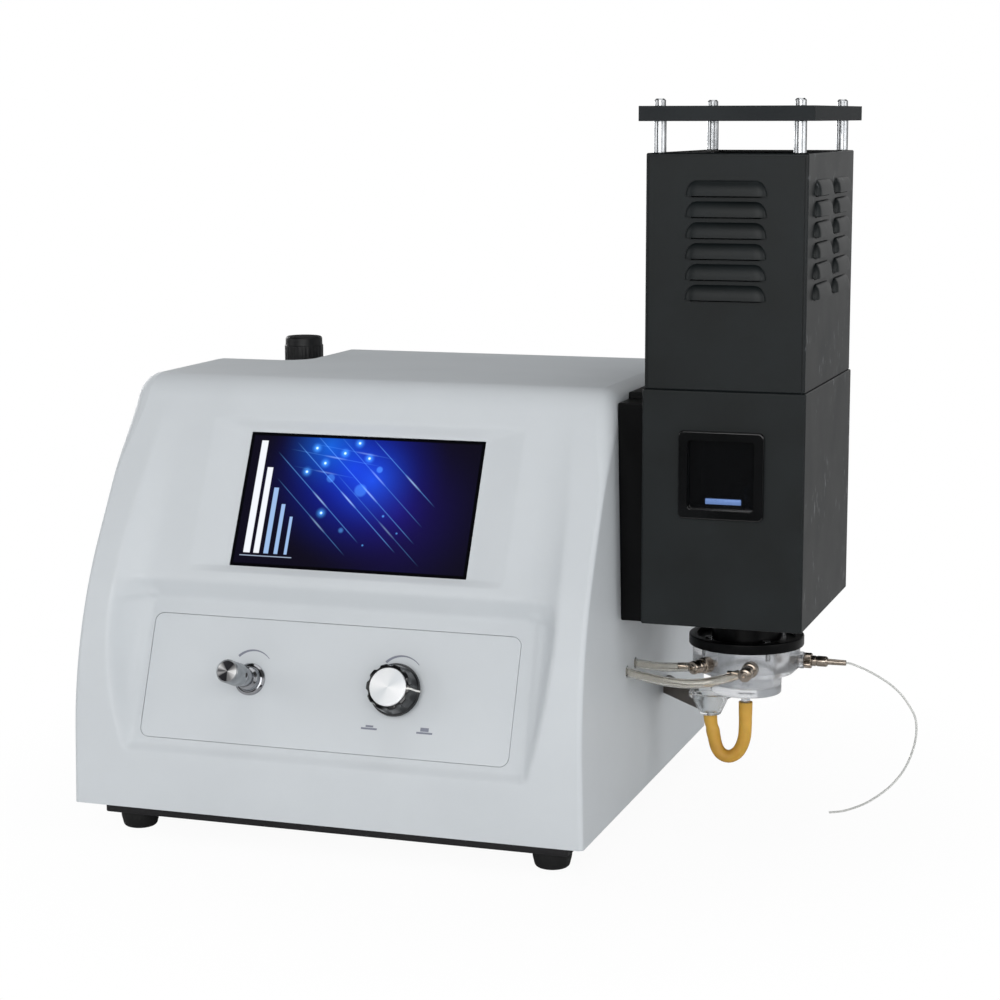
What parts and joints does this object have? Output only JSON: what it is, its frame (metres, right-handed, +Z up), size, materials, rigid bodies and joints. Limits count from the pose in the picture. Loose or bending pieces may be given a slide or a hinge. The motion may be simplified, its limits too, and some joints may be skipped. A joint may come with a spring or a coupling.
{
  "type": "flame photometer",
  "caption": "Bench flame photometer with a sloping touch-screen housing, valve knobs and a black burner tower over a clear mixing chamber with a sample capillary.",
  "frame": {"origin": "middle of the footprint's box on the bench, without the sample capillary", "axes": "+X right as seen from the front, +Y from front to back, +Z up"},
  "size_m": [0.5303, 0.3664, 0.4748],
  "materials": {
    "shell": "fine-textured moulded ABS, pale cool grey",
    "panel_film": "matt printed film on the control panel plate",
    "black_coat": "black powder-coated steel",
    "tower_black": "black anodised or painted sheet steel, satin",
    "gloss_black": "glossy black plastic",
    "flange_black": "black anodised aluminium",
    "knob_black": "black phenolic or nylon, semi-gloss",
    "rubber": "black rubber",
    "screen": "screen glass over a lit display",
    "dark_glass": "dark viewing glass",
    "chrome": "bright chrome plate",
    "brass": "machined brass",
    "nickel": "nickel-plated brass",
    "bright_metal": "bright machined metal",
    "bright_screw": "zinc-plated screws",
    "dark_steel": "dark plated steel",
    "spun_aluminium": "spun aluminium disc",
    "cast_grey": "die-cast zinc, painted grey",
    "ceramic": "white ceramic with a wire tip",
    "white_plastic": "white fluoropolymer washer",
    "acrylic": "clear machined acrylic",
    "clear_plastic": "clear moulded plastic",
    "clear_hose": "clear vinyl hose",
    "capillary": "translucent plastic capillary",
    "latex": "amber latex tube",
    "filter_glass": "coloured filter glass in its holder",
    "inner_grey": "dark grey moulded housing",
    "board": "green circuit board"
  },
  "bodies": {
    "root": {"base_plate": "black_coat", "feet": "rubber", "case_screws": "bright_screw", "housing": "shell", "rear_panel": "black_coat", "control_panel": "panel_film", "screen_glass": "screen", "display_module": "inner_grey", "fine_valve_bushing": "chrome", "fine_valve_body": "brass", "gas_valve_body": "brass", "ignition_switch": "inner_grey", "ignition_module": "inner_grey", "igniter_electrode": "ceramic", "regulator_body": "cast_grey", "regulator_bonnet": "knob_black", "filter_bowl": "clear_plastic", "regulator_bracket": "bright_metal", "air_inlet": "brass", "gas_inlet": "brass", "power_inlet": "knob_black", "mount_post": "tower_black", "optics_duct": "tower_black", "flame_box": "tower_black", "chimney_shell": "tower_black", "chimney_cap": "tower_black", "cap_spacers": "bright_metal", "cap_screws": "bright_screw", "window_frame": "gloss_black", "window_glass": "dark_glass", "burner_flange": "flange_black", "flange_screws": "bright_screw", "burner_tube": "bright_metal", "burner_head": "bright_metal", "mixing_chamber": "acrylic", "chamber_base": "acrylic", "hose_fittings": "nickel", "air_hose": "clear_hose", "gas_hose": "clear_hose", "nebulizer": "nickel", "nebulizer_nut": "nickel", "nebulizer_seal": "white_plastic", "sample_capillary": "capillary", "drain_tube": "latex", "drain_cup": "clear_plastic", "drain_arm": "dark_steel", "lens_tube": "tower_black", "optical_filters": "filter_glass", "photocells": "bright_metal", "main_board": "board", "power_supply": "bright_metal"},
    "fine_spindle": {"fine_valve_stem": "brass", "fine_knob": "chrome", "fine_knob_screw": "dark_steel"},
    "gas_push": {"gas_plunger": "bright_metal"},
    "gas_dial": {"gas_valve_stem": "brass", "gas_knob": "knob_black", "gas_knob_cap": "spun_aluminium"},
    "regulator_dial": {"regulator_knob": "knob_black"},
    "rocker": {"power_rocker": "knob_black"}
  },
  "joints": [
    {"name": "fine_knob_turn", "type": "hinge", "parent": "root", "child": "fine_spindle", "pos_m": [-0.1223, -0.14535, 0.10396], "axis": [0, -0.9336, 0.3584], "range_deg": [0, 1710]},
    {"name": "gas_knob_push", "type": "slide", "parent": "root", "child": "gas_push", "axis": [0, 0.9336, -0.3584], "range_m": [0, 0.004], "stiffness_N_per_m": 1500, "springref_m": -0.003},
    {"name": "gas_knob_turn", "type": "hinge", "parent": "gas_push", "child": "gas_dial", "pos_m": [-0.0203, -0.14535, 0.10396], "axis": [0, -0.9336, 0.3584], "range_deg": [0, 270]},
    {"name": "regulator_knob_turn", "type": "hinge", "parent": "root", "child": "regulator_dial", "pos_m": [-0.1878, 0.10563, 0.29], "axis": [0, 0, 1], "range_deg": [-540, 540]},
    {"name": "power_rocker_tilt", "type": "hinge", "parent": "root", "child": "rocker", "pos_m": [0.0347, 0.15823, 0.083], "axis": [-1, 0, 0], "range_deg": [0, 14]}
  ]
}
